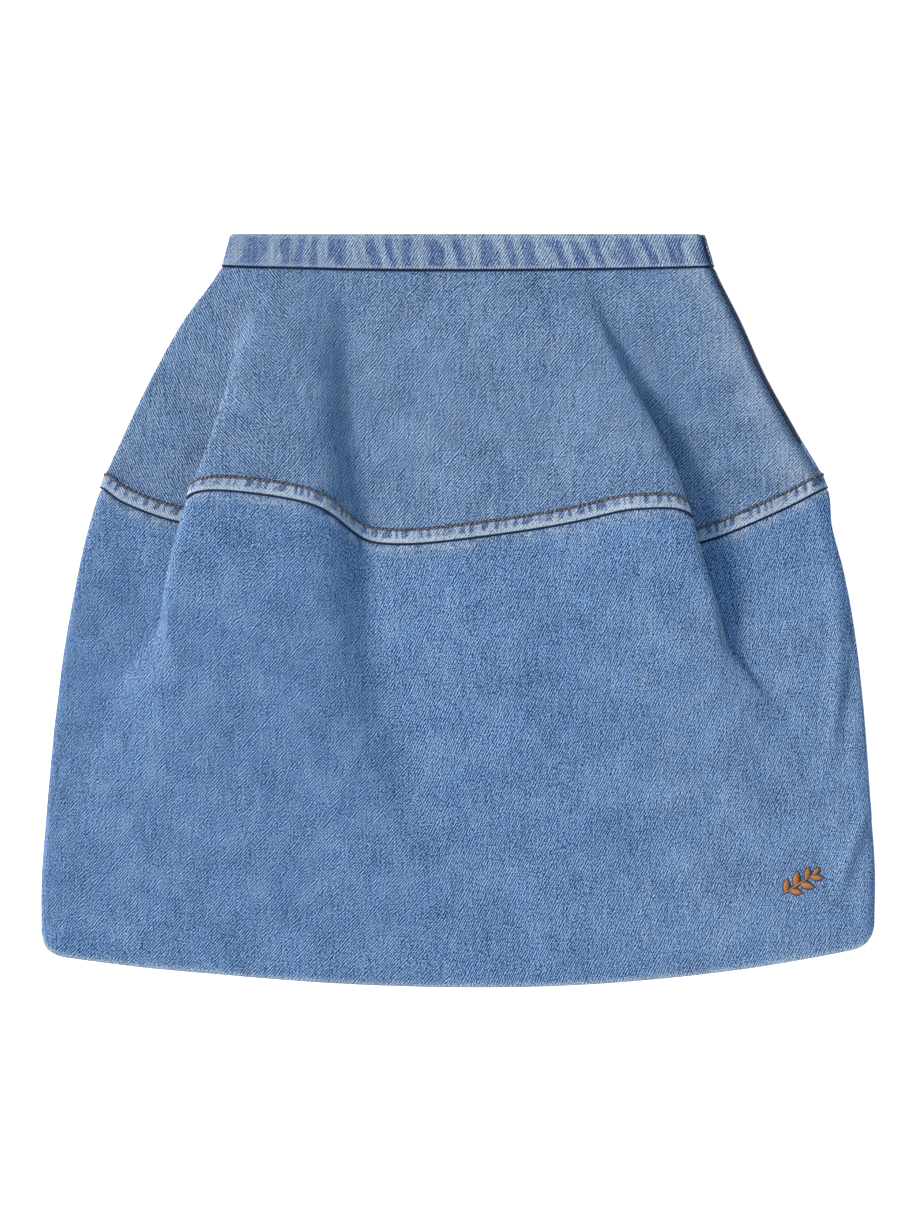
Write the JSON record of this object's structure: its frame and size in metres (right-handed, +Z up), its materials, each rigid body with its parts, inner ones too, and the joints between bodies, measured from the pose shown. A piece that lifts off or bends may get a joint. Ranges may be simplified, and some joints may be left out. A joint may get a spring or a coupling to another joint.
{
  "type": "denim bubble mini skirt",
  "caption": "Short denim skirt with a straight waistband, a stitched yoke and a full rounded lower part, laid flat on its back",
  "frame": {"origin": "on the floor, under the middle of the whole skirt", "axes": "+X to the right as one looks down on the front (the wearer's left side, where the zip is), +Y towards the waist, +Z up out of the front"},
  "size_m": [0.5826, 0.5248, 0.0253],
  "materials": {
    "denim": "washed mid-blue cotton twill, paler where seams and folds are worn",
    "navy_tape": "woven navy zip tape with a nylon coil",
    "navy_enamel": "navy enamelled slider"
  },
  "bodies": {
    "root": {"waistband": "denim", "yoke_front": "denim", "yoke_back": "denim", "skirt_front": "denim", "skirt_back": "denim", "side_zip": "navy_tape", "zip_slider": "navy_enamel"}
  },
  "joints": []
}
